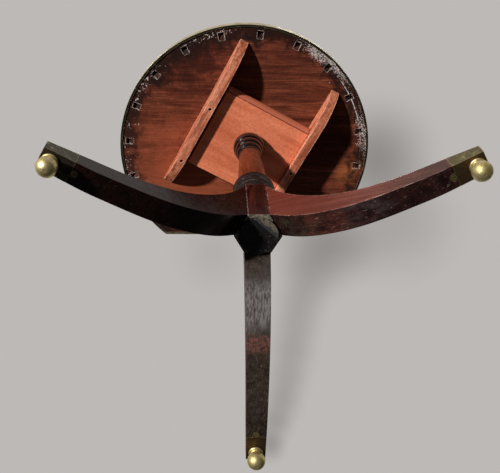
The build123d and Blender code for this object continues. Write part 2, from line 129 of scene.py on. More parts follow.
class Nodes:
    """A node tree, with a short call for each kind of node that the finishes and the world use."""

    def __init__(self, tree: bpy.types.NodeTree) -> None:
        """Empty a tree and give it coordinates.

        Args:
            tree: The tree of a material or of the world.
        """
        self.tree = tree
        tree.nodes.clear()
        self.coordinates = self.node("ShaderNodeTexCoord").outputs

    def node(self, kind: str, *values: object, **settings: object) -> bpy.types.Node:
        """Add a node, set its own options and feed its first inputs.

        Args:
            kind: The node's type.
            values: What its first inputs take, in their order.
            settings: The options to set on it.

        Returns:
            The new node.
        """
        node = self.tree.nodes.new(kind)
        for option, setting in settings.items():
            setattr(node, option, setting)
        for socket, value in zip(node.inputs, values):
            self.feed(socket, value)
        return node

    def named(self, kind: str, **values: object) -> Socket:
        """Add a node and feed its inputs by their names.

        Args:
            kind: The node's type.
            values: What the inputs take, with an underscore for each blank in a name.

        Returns:
            The node's first output.
        """
        node = self.node(kind)
        for name, value in values.items():
            self.feed(node.inputs[name.replace("_", " ")], value)
        return node.outputs[0]

    def feed(self, socket: Socket, value: object) -> None:
        """Link a socket to an input, or write a constant into it.

        Args:
            socket: The input.
            value: Another node's output, a number or a colour.
        """
        if isinstance(value, bpy.types.NodeSocket):
            self.tree.links.new(value, socket)
        elif socket.type == "RGBA":
            socket.default_value = (*value, 1.0)
        else:
            socket.default_value = value

    def math(self, operation: str, first: Value, second: Value = 0.0) -> Socket:
        """Combine two numbers by the operation of that name."""
        return self.node("ShaderNodeMath", first, second, operation=operation).outputs[0]

    def times(self, first: Value, second: Value) -> Socket:
        """Multiply two numbers."""
        return self.math("MULTIPLY", first, second)

    def plus(self, first: Value, second: Value) -> Socket:
        """Add two numbers."""
        return self.math("ADD", first, second)

    def minus(self, first: Value, second: Value) -> Socket:
        """Take the second number from the first."""
        return self.math("SUBTRACT", first, second)

    def apart(self, first: Value, second: Value) -> Socket:
        """Find how far two numbers are apart."""
        return self.math("ABSOLUTE", self.minus(first, second))

    def largest(self, *values: Value) -> Value:
        """Take the largest of some numbers."""
        return reduce(lambda first, second: self.math("MAXIMUM", first, second), values)

    def rays(self, *kinds: str) -> Socket:
        """Find the light rays of the named kinds."""
        path = self.node("ShaderNodeLightPath").outputs
        return self.largest(*(path[f"Is {kind} Ray"] for kind in kinds))

    def part(self, whole: Socket, axis: str) -> Socket:
        """Take the X, Y or Z part of a vector."""
        return self.node("ShaderNodeSeparateXYZ", whole).outputs[axis]

    def vector(self, operation: str, first: object, second: object) -> Socket:
        """Combine two vectors, to a number where the operation is DISTANCE or DOT_PRODUCT."""
        node = self.node("ShaderNodeVectorMath", first, second, operation=operation)
        return node.outputs["Value" if operation in ("DISTANCE", "DOT_PRODUCT") else "Vector"]

    def mix(self, share: Value, first: object, second: object, blend: str = "MIX") -> Socket:
        """Mix two colours.

        Args:
            share: How much of the second colour there is.
            first: The first colour.
            second: The second colour.
            blend: The way they are mixed.

        Returns:
            The mixed colour.
        """
        node = self.node("ShaderNodeMix", share, data_type="RGBA", blend_type=blend)
        self.feed(node.inputs[6], first)
        self.feed(node.inputs[7], second)
        return node.outputs[2]

    def step(self, value: Value, low: float, high: float, start: float = 0.0, end: float = 1.0) -> Socket:
        """Run smoothly from start to end while a number goes from low to high.

        Args:
            value: The number.
            low: Where the run starts.
            high: Where it ends.
            start: What comes out at and before low.
            end: What comes out at and after high.

        Returns:
            The result.
        """
        node = self.node("ShaderNodeMapRange", value, low, high, start, end, interpolation_type="SMOOTHSTEP")
        return node.outputs[0]

    def blend(self, share: Value, first: Socket, second: Socket) -> Socket:
        """Mix two surfaces or two lights by the second one's share."""
        return self.node("ShaderNodeMixShader", share, first, second).outputs[0]


class Shader(Nodes):
    """The node tree of one material."""

    def __init__(self, name: str, grain: Grain = Grain.UPRIGHT, seed: float = 0.0) -> None:
        """Start a material with the piece's own coordinates.

        Args:
            name: The material's name.
            grain: The direction of the grain, where the piece is of wood.
            seed: A shift along the grain, so that two pieces differ.
        """
        self.material = bpy.data.materials.new(name)
        self.material.use_nodes = True
        super().__init__(self.material.node_tree)
        self.point: Socket = self.coordinates["Object"]
        self.normal: Socket = self.coordinates["Normal"]
        self.grain = grain
        self.seed = seed

    def grown(self, shift: float) -> Socket:
        """Turn the piece's coordinates so that the first one runs along its grain.

        Args:
            shift: How far they are shifted, so that two patterns differ.

        Returns:
            The turned coordinates.
        """
        turn = self.grain.direction().rotation_difference(Vector((1.0, 0.0, 0.0)))
        node = self.node("ShaderNodeVectorRotate", self.point, rotation_type="EULER_XYZ")
        self.feed(node.inputs["Rotation"], turn.to_euler())
        return self.vector("ADD", node.outputs[0], (shift, shift, 0.0))

    def noise(self, waves: Waves, point: Socket | None = None) -> Socket:
        """Draw a cloudy noise.

        Args:
            waves: How the noise is made.
            point: The coordinates, or None for the piece's own.

        Returns:
            A number about 0.5.
        """
        scale = waves.scale if isinstance(waves.scale, tuple) else (waves.scale,) * 3
        return self.named(
            "ShaderNodeTexNoise",
            Vector=self.vector("MULTIPLY", point or self.point, scale),
            Scale=1.0,
            Detail=waves.detail,
            Roughness=waves.roughness,
            Distortion=waves.distortion,
        )

    def out_from(self, axis: Place) -> Socket:
        """Measure how far the surface lies out from an upright axis."""
        flat = self.vector("MULTIPLY", self.point, (1.0, 1.0, 0.0))
        return self.vector("DISTANCE", flat, axis)

    def swayed(self, grown: Socket, amount: float) -> Socket:
        """Let the grain wander sideways, as it does in a real board.

        Args:
            grown: The coordinates along the grain.
            amount: How far it wanders, in metres.

        Returns:
            The swayed coordinates.
        """
        wander = self.minus(self.noise(WANDER, grown), 0.5)
        shift = self.times(wander, amount * 2)
        return self.vector("ADD", grown, self.named("ShaderNodeCombineXYZ", Y=shift, Z=shift))

    def edge(self, radius: float) -> Socket:
        """Find the arrises of the piece.

        Args:
            radius: How far from an edge the mask reaches.

        Returns:
            A number that rises towards an edge.
        """
        bevel = self.node("ShaderNodeBevel", radius, samples=4).outputs[0]
        flat = self.node("ShaderNodeNewGeometry").outputs["True Normal"]
        return self.step(self.vector("DOT_PRODUCT", bevel, flat), *ARRIS_FACING)

    def surface(self, made: Layers, relief: float, **values: object) -> bpy.types.Material:
        """End the tree with a surface.

        Args:
            made: Its layers.
            relief: How high its bumps are, in metres.
            values: What its other inputs take, with an underscore for each blank in a name.

        Returns:
            The finished material.
        """
        surface = self.named(
            "ShaderNodeBsdfPrincipled",
            Base_Color=made.colour,
            Roughness=made.roughness,
            Normal=self.named("ShaderNodeBump", Strength=1.0, Distance=relief, Height=made.height),
            Coat_Weight=made.polish,
            **values,
        )
        return self.finish(surface)

    def finish(self, surface: Socket) -> bpy.types.Material:
        """End the tree with a ready surface and return the material."""
        self.node("ShaderNodeOutputMaterial", surface)
        return self.material


@dataclass(frozen=True)
class Timber:
    """Mahogany: broad figure, fine streaks and pores, with grime and pale arrises that are partly wear and
    partly painted highlight.
    """

    name: str
    dark: Colour
    light: Colour
    pore: Colour
    # The arrises' colour: partly wear, partly painted highlight
    wear_and_highlight: Colour
    grime: Colour
    figure_width: float = 0.024
    streak_width: float = 0.0022
    streak_strength: float = 0.3
    mottle_strength: float = 0.12
    sway: float = 0.008
    pore_strength: float = 0.5
    wear_and_highlight_strength: float = 0.6
    wear_and_highlight_radius: float = 0.0022
    grime_strength: float = 0.35
    roughness: float = 0.5
    specular: float = 0.5
    relief: float = 0.00012
    coat_roughness: float = 0.12
    figure_drawn_out: float = 0.1
    streak_drawn_out: float = 0.022
    pore_noise: Waves = Waves((110.0, 1700.0, 1700.0), 2.0, 0.5)
    mottle_noise: Waves = Waves(150.0, 4.0, 0.7, 0.3)
    blotch_noise: Waves = Waves(16.0, 5.0, 0.65)
    rub_noise: Waves = Waves(70.0, 4.0, 0.7)

    def layers(self, shader: Shader) -> Layers:
        """Grow the wood and wear it.

        Args:
            shader: The new material.

        Returns:
            The wood's layers.
        """
        grown = shader.swayed(shader.grown(shader.seed), self.sway)
        wide = 1 / self.figure_width
        figure = shader.noise(Waves((wide * self.figure_drawn_out, wide, wide), 4.0, 0.6, 0.5), grown)
        fine = 1 / self.streak_width
        streak = shader.noise(Waves((fine * self.streak_drawn_out, fine, fine), 3.0, 0.62, 0.15), grown)
        pores = shader.noise(self.pore_noise, grown)
        colour = shader.mix(shader.step(figure, 0.3, 0.7), self.dark, self.light)
        strength = self.streak_strength
        shade = shader.step(streak, 0.36, 0.66, 1.0 - strength, 1.0 + strength * 0.5)
        colour = shader.mix(1.0, colour, shade, "MULTIPLY")
        mottle = shader.noise(self.mottle_noise)
        shade = shader.step(mottle, 0.34, 0.66, 1.0 - self.mottle_strength, 1.0 + self.mottle_strength)
        colour = shader.mix(1.0, colour, shade, "MULTIPLY")
        pore = shader.step(pores, 0.56, 0.68, 0.0, self.pore_strength)
        colour = shader.mix(pore, colour, self.pore)
        blotch = shader.noise(self.blotch_noise)
        colour = shader.mix(shader.step(blotch, 0.5, 0.72, 0.0, self.grime_strength), colour, self.grime)
        patchy = shader.noise(self.rub_noise)
        # Pale arrises: partly wear, partly a painted highlight along the edges
        edge = shader.times(shader.edge(self.wear_and_highlight_radius), shader.step(patchy, 0.38, 0.62))
        edge = shader.times(edge, self.wear_and_highlight_strength)
        colour = shader.mix(edge, colour, self.wear_and_highlight)
        rough = shader.plus(shader.step(patchy, 0.3, 0.7, -0.06, 0.08), self.roughness)
        rough = shader.plus(rough, shader.times(pore, 0.2))
        height = shader.minus(shader.times(streak, 0.5), pore)
        return Layers(colour, rough, height)

    def material(self, grain: Grain, seed: float = 0.0) -> bpy.types.Material:
        """Make the finish for one piece.

        Args:
            grain: The grain's direction in that piece.
            seed: A shift along the grain.

        Returns:
            The material.
        """
        shader = Shader(f"{self.name}_{grain.name.lower()}", grain, seed)
        return shader.surface(
            self.layers(shader),
            self.relief,
            Specular_IOR_Level=self.specular,
            Coat_Roughness=self.coat_roughness,
        )


@dataclass(frozen=True)
class Stain:
    """A patch of another colour with a cloudy edge, on the board's underside."""

    centre: Pair
    reach: float
    strength: float
    colour: Colour

    def cover(self, shader: Shader, colour: Socket, cloud: Socket, height: float) -> Socket:
        """Lay the stain over a colour.

        Args:
            shader: The new material.
            colour: The colour below it.
            cloud: The noise that breaks its edge up.
            height: The height of the underside.

        Returns:
            The stained colour.
        """
        out = shader.vector("DISTANCE", shader.point, (*self.centre, height))
        ragged = shader.step(cloud, 0.3, 0.7, self.reach * 0.3, -self.reach * 0.3)
        share = shader.step(shader.plus(out, ragged), self.reach, self.reach * 0.2, 0.0, self.strength)
        return shader.mix(share, colour, self.colour)


@dataclass(frozen=True)
class BlockTimber(Timber):
    """The tipping block: painted shade darkens its rounded edge round the pins, behind a thin dark line of
    painted shade.
    """

    across: Place = (-0.469472, 0.882948, 0.0)
    pins_at: float = 0.1422
    # Painted shade on the rounded edge by the pins, and its thin dark line
    rolled_edge_shade: Colour = BLACK
    rolled_edge_shade_line: Colour = BLACK
    shade_line_past_pins: float = 0.006
    shade_line_softness: float = 0.0005
    edge_noise: Waves = Waves(60.0, 4.0, 0.7)
    speck_noise: Waves = Waves(300.0, 3.0, 0.65)
    speck_strength: float = 0.16

    def layers(self, shader: Shader) -> Layers:
        """Grow the block and paint shade on its rounded edge.

        Args:
            shader: The new material.

        Returns:
            The block's layers.
        """
        made = super().layers(shader)
        # Painted shade: the rounded edge past the pins darkens in patches, with a thin dark line along its
        # inner side
        past = shader.minus(shader.vector("DOT_PRODUCT", shader.point, self.across), self.pins_at)
        patchy = shader.noise(self.edge_noise)
        rubbed = shader.step(patchy, 0.2, 0.6, 0.5, 0.9)
        middle = self.shade_line_past_pins
        rolled_edge_shade = shader.step(past, middle - self.shade_line_softness, middle + self.shade_line_softness)
        colour = shader.mix(shader.times(rolled_edge_shade, rubbed), made.colour, self.rolled_edge_shade)
        line = shader.step(shader.apart(past, middle), *LINE_FADE)
        colour = shader.mix(shader.times(line, shader.step(patchy, 0.3, 0.5)), colour, self.rolled_edge_shade_line)
        specks = shader.noise(self.speck_noise)
        colour = shader.mix(shader.step(specks, 0.6, 0.68, 0.0, self.speck_strength), colour, self.pore)
        return Layers(colour, made.roughness, made.height)


@dataclass(frozen=True)
class FleckArea:
    """A stretch of the board's edge where pale flecks are crowded."""

    centre: Pair
    reach: float
    crowding: float
    chip: float = 0.0024


@dataclass(frozen=True)
class BoardTimber(Timber):
    """The board: a polished face above and, below, dry wood that is dirty and flecked towards its edge, with
    a painted highlight line inside the rim.
    """

    centre: Place = (0.0, 0.0, 0.0)
    radius: float = 0.3
    straight_side: float = 0.0
    face_height: float = 0.72
    under_height: float = 0.7
    face_dark: Colour = BLACK
    face_light: Colour = BLACK
    face_roughness: float = 0.26
    dirt: Colour = BLACK
    dirt_width: float = 0.052
    stains: tuple[Stain, ...] = ()
    # Colour of the pale flecks and of the painted highlight line
    fleck_and_highlight: Colour = BLACK
    fleck_width: float = 0.03
    # Pale edges of the pockets and the board: partly wear, partly painted highlight
    pocket_edge_wear_and_highlight: Colour = BLACK
    pocket_edge_wear_and_highlight_strength: float = 0.85
    # A thin painted highlight line inside the rim: its middle, its inset and its reach
    highlight_line_middle: Pair = (0.0, 0.0)
    highlight_line_inset: float = 0.017
    highlight_line_reach: float = 0.15
    fleck_areas: tuple[FleckArea, ...] = ()
    cloud_noise: Waves = Waves(24.0, 6.0, 0.72, 0.5)
    stray_noise: Waves = Waves(120.0, 2.0, 0.5)
    broken_noise: Waves = Waves(180.0, 3.0, 0.6)
    face_figure: Waves = Waves((2.4, 16.0, 16.0), 5.0, 0.62, 1.0)
    face_streaks: Waves = Waves((14.0, 520.0, 520.0), 3.0, 0.6)
    face_sway: float = 0.02
    face_seed: float = 0.7
    face_softness: float = 0.0006

    def flecks(self, shader: Shader, inward: Socket, cloud: Socket) -> Socket:
        """Scatter pale flecks along the edge, crowded in some areas, and paint a thin highlight line inside
        the rim.

        Args:
            shader: The new material.
            inward: The distance from the board's edge.
            cloud: A noise that varies the flecks' band.

        Returns:
            A mask of the flecks and the painted highlight line.
        """
        ragged = shader.plus(inward, shader.step(cloud, 0.3, 0.7, -0.012, 0.012))
        band = shader.step(ragged, self.fleck_width, self.fleck_width * 0.25)
        stray = shader.noise(self.stray_noise)
        fading = shader.step(inward, 0.07, 0.045, 0.0, 0.7)
        shown = shader.times(shader.step(stray, 0.76, 0.78), fading)
        for area in self.fleck_areas:
            out = shader.vector("DISTANCE", shader.point, (*area.centre, self.under_height))
            near = shader.times(shader.step(out, area.reach, area.reach * 0.3), band)
            chips = shader.noise(Waves(1 / area.chip, 3.0, 0.7, 0.6))
            crowded = shader.plus(chips, shader.times(near, area.crowding))
            flecked = shader.times(shader.step(crowded, 0.67, 0.72), shader.step(near, 0.0, 0.15))
            shown = shader.largest(shown, flecked)
        # A thin pale line inside the rim, broken in places: a painted highlight
        out = shader.vector("DISTANCE", shader.point, (*self.highlight_line_middle, self.under_height))
        line = shader.step(shader.apart(inward, self.highlight_line_inset), *LINE_FADE)
        line = shader.times(line, shader.step(out, self.highlight_line_reach, 0.0))
        return shader.largest(shown, shader.times(line, shader.step(stray, 0.42, 0.5)))

    def layers(self, shader: Shader) -> Layers:
        """Grow the board, dirty and speckle its edge below, paint a highlight line inside the rim, lighten
        its arrises with wear and painted highlight, and polish it above.

        Args:
            shader: The new material.

        Returns:
            The board's layers.
        """
        made = super().layers(shader)
        from_arc = shader.minus(self.radius, shader.out_from(self.centre))
        from_side = shader.minus(shader.part(shader.point, "Y"), self.straight_side)
        inward = shader.math("MINIMUM", from_arc, from_side)
        cloud = shader.noise(self.cloud_noise)
        colour = made.colour
        for stain in self.stains:
            colour = stain.cover(shader, colour, cloud, self.under_height)
        ragged = shader.plus(inward, shader.step(cloud, 0.36, 0.64, 0.024, -0.024))
        dirty = shader.step(ragged, self.dirt_width, self.dirt_width * 0.2, 0.0, 0.88)
        colour = shader.mix(dirty, colour, self.dirt)
        # The flecks' mask also holds the painted highlight line
        chips = self.flecks(shader, inward, cloud)
        colour = shader.mix(shader.times(chips, 0.85), colour, self.fleck_and_highlight)
        # Pale edges of the pockets and the board: partly wear, partly painted highlight
        rubbed = shader.times(shader.edge(self.wear_and_highlight_radius), self.pocket_edge_wear_and_highlight_strength)
        broken = shader.noise(self.broken_noise)
        rubbed = shader.times(rubbed, shader.step(broken, 0.36, 0.56))
        colour = shader.mix(rubbed, colour, self.pocket_edge_wear_and_highlight)
        top, soft = self.face_height, self.face_softness
        face = shader.step(shader.part(shader.point, "Z"), top - 2 * soft, top - soft)
        grown = shader.swayed(shader.grown(shader.seed + self.face_seed), self.face_sway)
        figure = shader.noise(self.face_figure, grown)
        polished = shader.mix(shader.step(figure, 0.32, 0.68), self.face_dark, self.face_light)
        streak = shader.noise(self.face_streaks, grown)
        polished = shader.mix(1.0, polished, shader.step(streak, 0.35, 0.65, 0.74, 1.12), "MULTIPLY")
        colour = shader.mix(face, colour, polished)
        below = shader.plus(made.roughness, shader.times(dirty, 0.12))
        above = shader.step(cloud, 0.35, 0.65, self.face_roughness - 0.03, self.face_roughness + 0.06)
        below = shader.times(below, shader.minus(1.0, face))
        rough = shader.plus(below, shader.times(above, face))
        relief = shader.plus(made.height, shader.times(chips, 1.5))
        height = shader.times(relief, shader.step(face, 0.0, 1.0, 1.0, 0.08))
        return Layers(colour, rough, height, face)


@dataclass(frozen=True)
class LegPatch:
    """A patch of another colour on a leg's underside; some are wear where the finish is rubbed away, some a
    painted sheen.
    """

    distance: float
    reach: float
    strength: float
    colour: Colour
    grain_size: float = 0.006
    drawn_out: float = 1.0
    threshold: float = 0.42


@dataclass(frozen=True)
class LegTimber(Timber):
    """Old mahogany whose underside has another colour, with patches of wear and of painted sheen."""

    near_hub: Colour = BLACK
    near_hub_reach: float = 0.16
    near_hub_strength: float = 0.0
    near_foot: Colour = BLACK
    near_foot_from: float = 0.2
    near_foot_strength: float = 0.0
    under_dark: Colour = BLACK
    under_light: Colour = BLACK
    under_mottle: float = 0.012
    axis: Place = (0.0, 0.062, 0.0)
    patches: tuple[LegPatch, ...] = ()
    scratches: Colour = BLACK
    scratch_strength: float = 0.0
    underside: Pair = (-0.3, -0.6)
    scratch_noise: Waves = Waves((90.0, 420.0, 420.0), 4.0, 0.65, 0.6)
    scratch_seed: float = 5.0

    def layers(self, shader: Shader) -> Layers:
        """Grow the leg, then stain and scuff its underside.

        Args:
            shader: The new material.

        Returns:
            The leg's layers.
        """
        made = super().layers(shader)
        out = shader.out_from(self.axis)
        reach = self.near_hub_reach
        near = shader.step(out, reach * 1.5, reach * 0.5, 0.0, self.near_hub_strength)
        side = shader.mix(near, made.colour, self.near_hub)
        far = shader.step(out, self.near_foot_from, self.near_foot_from + 0.14, 0.0, self.near_foot_strength)
        side = shader.mix(far, side, self.near_foot)
        below = shader.step(shader.part(shader.normal, "Z"), *self.underside)
        mottle = shader.noise(Waves(1 / self.under_mottle, 6.0, 0.72, 0.3))
        under = shader.mix(shader.step(mottle, 0.36, 0.64), self.under_dark, self.under_light)
        height = made.height
        # Patches: wear where the finish is rubbed away, and on the front leg painted sheen
        for place, patch in enumerate(self.patches):
            close = shader.step(shader.apart(out, patch.distance), patch.reach, patch.reach * 0.35)
            small = 1 / patch.grain_size
            drawn = shader.grown(0.4 * place)
            rubbed = shader.noise(Waves((small / patch.drawn_out, small, small), 5.0, 0.75), drawn)
            patched = shader.step(rubbed, patch.threshold, patch.threshold + 0.18, 0.0, patch.strength)
            share = shader.times(close, patched)
            under = shader.mix(share, under, patch.colour)
            height = shader.minus(height, share)
        lines = shader.noise(self.scratch_noise, shader.grown(self.scratch_seed))
        scratched = shader.step(lines, 0.61, 0.68, 0.0, self.scratch_strength)
        under = shader.mix(scratched, under, self.scratches)
        colour = shader.mix(below, side, under)
        return Layers(colour, made.roughness, height)


@dataclass(frozen=True)
class ShadowEdgeScuff:
    """Where the boss's painted shadow ends: beyond a straight line, a grey band and then bare, speckled
    scuffs of the lit part.
    """

    beyond: Place
    starts_at: float
    bare: Colour
    grey: Colour
    noise: Waves = Waves(170.0, 5.0, 0.75)

    def cover(self, shader: Shader, colour: Socket) -> Socket:
        """Lay the lit colours beyond the painted shadow's edge over a colour.

        Args:
            shader: The new material.
            colour: The colour below it.

        Returns:
            The scuffed colour.
        """
        # Before the line the boss keeps its black, the painted shadow
        past = shader.minus(shader.vector("DOT_PRODUCT", shader.point, self.beyond), self.starts_at)
        cloud = shader.noise(self.noise)
        colour = shader.mix(shader.step(past, 0.0, 0.0012, 0.0, 0.9), colour, self.grey)
        bared = shader.plus(cloud, shader.step(past, 0.001, 0.012, -0.12, 0.06))
        return shader.mix(shader.step(bared, 0.46, 0.56), colour, self.bare)


@dataclass(frozen=True)
class BlackPolish:
    """Black polish over turned wood, brown where the arrises have rubbed; on the lower collar the arrises
    carry a painted highlight, and on the boss the black is painted shade.
    """

    name: str
    black: Colour
    # Colour of the arrises: brown wear, and on the lower collar painted highlight
    rubbed: Colour
    roughness: float = 0.2
    rub_and_highlight_strength: float = 0.35
    dulled: float = 0.15
    specular: float = 0.5
    # The painted shadow's edge and the lit scuffs beyond it, where the finish has one
    shadow_edge_scuff: ShadowEdgeScuff | None = None
    arris: float = 0.0015
    relief: float = 0.00008
    cloud_noise: Waves = Waves(60.0, 5.0, 0.7)
    ring_noise: Waves = Waves((40.0, 40.0, 900.0), 3.0, 0.6)

    def material(self, seed: float = 0.0) -> bpy.types.Material:
        """Make the finish.

        Args:
            seed: A shift of the pattern, so that two pieces differ.

        Returns:
            The material.
        """
        shader = Shader(self.name)
        moved = shader.vector("ADD", shader.point, (seed, seed, seed))
        cloud = shader.noise(self.cloud_noise, moved)
        rings = shader.noise(self.ring_noise, moved)
        # Arrises: brown wear, and on the lower collar pale painted highlight
        edge = shader.times(shader.edge(self.arris), shader.step(cloud, 0.42, 0.62))
        edge = shader.times(edge, self.rub_and_highlight_strength)
        dull = shader.step(cloud, 0.5, 0.75, 0.0, self.dulled)
        colour = shader.mix(shader.largest(edge, dull), self.black, self.rubbed)
        # On the boss: where the painted shadow ends, with the lit scuffs beyond
        if self.shadow_edge_scuff:
            colour = self.shadow_edge_scuff.cover(shader, colour)
        rough = shader.plus(shader.step(cloud, 0.3, 0.75, -0.05, 0.12), self.roughness)
        return shader.surface(Layers(colour, rough, rings), self.relief, Specular_IOR_Level=self.specular)


@dataclass(frozen=True)
class OldBrass:
    """Cast brass, bright where hands and floors rub it and where a highlight is painted on its arrises,
    olive elsewhere, and made nearly black underneath by painted shade.
    """

    name: str
    bright: Colour
    olive: Colour
    brown: Colour
    # Underside colour and its strength: painted shade, painted lighter on the straight edging
    below: Colour
    underside_shading_strength: float = 0.0
    tarnish: float = 0.5
    roughness: float = 0.32
    metal: float = 1.0
    scratch: float = 0.4
    underside: Pair = (-0.45, -0.75)
    # Bright arrises: partly polish from rubbing, partly painted highlight
    arris: float = 0.0015
    arris_polish_and_highlight_strength: float = 0.75
    relief: float = 0.00012
    cloud_noise: Waves = Waves(55.0, 6.0, 0.7, 0.5)
    spot_noise: Waves = Waves(420.0, 3.0, 0.65)
    line_noise: Waves = Waves((120.0, 1300.0, 1300.0), 2.0, 0.5)

    def material(self, seed: float = 0.0) -> bpy.types.Material:
        """Make the finish.

        Args:
            seed: A shift of the pattern, so that two pieces differ.

        Returns:
            The material.
        """
        shader = Shader(self.name)
        moved = shader.vector("ADD", shader.point, (seed, seed, seed))
        cloud = shader.noise(self.cloud_noise, moved)
        spots = shader.noise(self.spot_noise, moved)
        lines = shader.noise(self.line_noise, moved)
        low = 0.66 - 0.3 * self.tarnish
        olive = shader.step(cloud, low - 0.14, low + 0.12)
        colour = shader.mix(olive, self.bright, self.olive)
        spotted = shader.step(olive, 0.1, 0.9, 0.25, 0.85)
        brown = shader.times(shader.step(spots, 0.52, 0.68), spotted)
        colour = shader.mix(brown, colour, self.brown)
        # Undersides: painted shade, painted lighter on the straight edging
        below = shader.step(shader.part(shader.normal, "Z"), *self.underside, 0.0, self.underside_shading_strength)
        colour = shader.mix(below, colour, self.below)
        # Bright arrises: partly polish from rubbing, partly painted highlight
        rubbed = shader.times(shader.edge(self.arris), self.arris_polish_and_highlight_strength)
        colour = shader.mix(rubbed, colour, self.bright)
        scratches = shader.step(lines, 0.6, 0.7, 0.0, self.scratch)
        rough = shader.plus(shader.times(olive, 0.14), self.roughness)
        rough = shader.plus(rough, shader.times(scratches, 0.12))
        height = shader.minus(shader.times(cloud, 0.6), shader.plus(brown, scratches))
        return shader.surface(Layers(colour, rough, height), self.relief, Metallic=self.metal)


@dataclass(frozen=True)
class ScrewSteel:
    """Old iron screws, grey and rusted in the slot."""

    name: str
    grey: Colour
    rust: Colour
    metal: float = 0.7
    relief: float = 0.0001
    rust_noise: Waves = Waves(500.0, 4.0, 0.7)

    def material(self) -> bpy.types.Material:
        """Make the finish.

        Returns:
            The material.
        """
        shader = Shader(self.name)
        cloud = shader.noise(self.rust_noise)
        rusty = shader.step(cloud, 0.42, 0.62)
        colour = shader.mix(rusty, self.grey, self.rust)
        rough = shader.step(rusty, 0.0, 1.0, 0.38, 0.75)
        return shader.surface(Layers(colour, rough, cloud), self.relief, Metallic=self.metal)


def dress(node: str, material: bpy.types.Material, arris: float = 0.0) -> None:
    """Give a piece its finish and take its sharp arrises off.

    Args:
        node: The piece's name.
        material: Its finish.
        arris: How wide its arrises are rounded, in metres, or 0 to leave them.
    """
    piece = NODES[node]
    piece.data.materials.clear()
    piece.data.materials.append(material)
    rounding = dict(
        width=arris,
        segments=ARRIS_SEGMENTS,
        limit_method="ANGLE",
        angle_limit=SHARP_ARRIS,
        use_clamp_overlap=True,
        miter_outer="MITER_ARC",
    )
    steps = (
        ("weld", "WELD", dict(merge_threshold=SAME_POINT)),
        ("flats", "DECIMATE", dict(decimate_type="DISSOLVE", angle_limit=SAME_FACE)),
        ("arris", "BEVEL", rounding),
        ("normals", "WEIGHTED_NORMAL", dict(keep_sharp=True)),
    )
    for name, kind, settings in steps if arris else ():
        modifier = piece.modifiers.new(name, kind)
        for option, value in settings.items():
            setattr(modifier, option, value)
    LOG.info("%s wears %s", node, material.name)


BOARD_MAHOGANY = BoardTimber(
    name="top_mahogany",
    dark=tone(82, 36, 22),
    light=tone(132, 68, 46),
    pore=tone(44, 18, 12),
    wear_and_highlight=tone(206, 190, 178),
    grime=tone(72, 32, 22),
    figure_width=0.016,
    streak_width=0.0026,
    streak_strength=0.4,
    mottle_strength=0.14,
    sway=0.014,
    roughness=0.6,
    specular=0.12,
    wear_and_highlight_strength=0.8,
    face_dark=tone(92, 36, 20),
    face_light=tone(156, 74, 40),
    dirt=tone(32, 17, 13),
    stains=(
        Stain((0.16, -0.06), 0.25, 0.5, tone(172, 88, 58)),
        Stain((-0.25, -0.01), 0.05, 0.6, tone(164, 96, 52)),
        Stain((0.15, 0.31), 0.2, 0.8, tone(48, 19, 14)),
        Stain((-0.07, 0.33), 0.1, 0.6, tone(66, 25, 18)),
        Stain((0.21, -0.18), 0.04, 0.95, tone(26, 20, 12)),
        Stain((-0.2, 0.06), 0.1, 0.7, tone(66, 18, 10)),
    ),
    # Pale flecks and the painted highlight line
    fleck_and_highlight=tone(220, 208, 202),
    # Pale pocket edges: partly wear, partly painted highlight
    pocket_edge_wear_and_highlight=tone(236, 222, 210),
    # Middle of the painted highlight line
    highlight_line_middle=(-0.235, 0.16),
    fleck_areas=(
        FleckArea((-0.17, 0.25), 0.11, 0.19),
        FleckArea((-0.265, 0.08), 0.1, 0.14),
        FleckArea((0.24, 0.19), 0.08, 0.11, 0.006),
        FleckArea((0.28, 0.08), 0.06, 0.1, 0.007),
        FleckArea((0.1, 0.32), 0.09, 0.1, 0.005),
        FleckArea((0.3, -0.03), 0.1, 0.09, 0.005),
    ),
)
SHAFT_MAHOGANY = Timber(
    name="shaft_mahogany",
    dark=tone(70, 20, 8),
    light=tone(112, 44, 20),
    pore=tone(44, 14, 6),
    wear_and_highlight=tone(160, 96, 62),
    grime=tone(48, 22, 15),
    roughness=0.28,
    relief=0.00004,
)
BLOCK_MAHOGANY = BlockTimber(
    name="block_mahogany",
    dark=tone(202, 104, 70),
    light=tone(232, 134, 96),
    pore=tone(164, 70, 44),
    wear_and_highlight=tone(248, 176, 138),
    grime=tone(184, 88, 58),
    figure_width=0.034,
    streak_strength=0.08,
    pore_strength=0.18,
    wear_and_highlight_strength=0.8,
    grime_strength=0.5,
    specular=0.18,
    # Colours of the painted shade on the rounded edge and its thin line
    rolled_edge_shade=tone(184, 104, 78),
    rolled_edge_shade_line=tone(112, 50, 36),
)
BATTEN_MAHOGANY = Timber(
    name="batten_mahogany",
    dark=tone(160, 80, 52),
    light=tone(226, 142, 106),
    pore=tone(112, 48, 32),
    # Pale arrises: partly wear, partly painted highlight
    wear_and_highlight=tone(255, 216, 192),
    grime=tone(132, 64, 44),
    figure_width=0.012,
    streak_strength=0.26,
    mottle_strength=0.24,
    pore_strength=0.45,
    wear_and_highlight_strength=1.0,
    wear_and_highlight_radius=0.0026,
    roughness=0.42,
    specular=0.35,
)
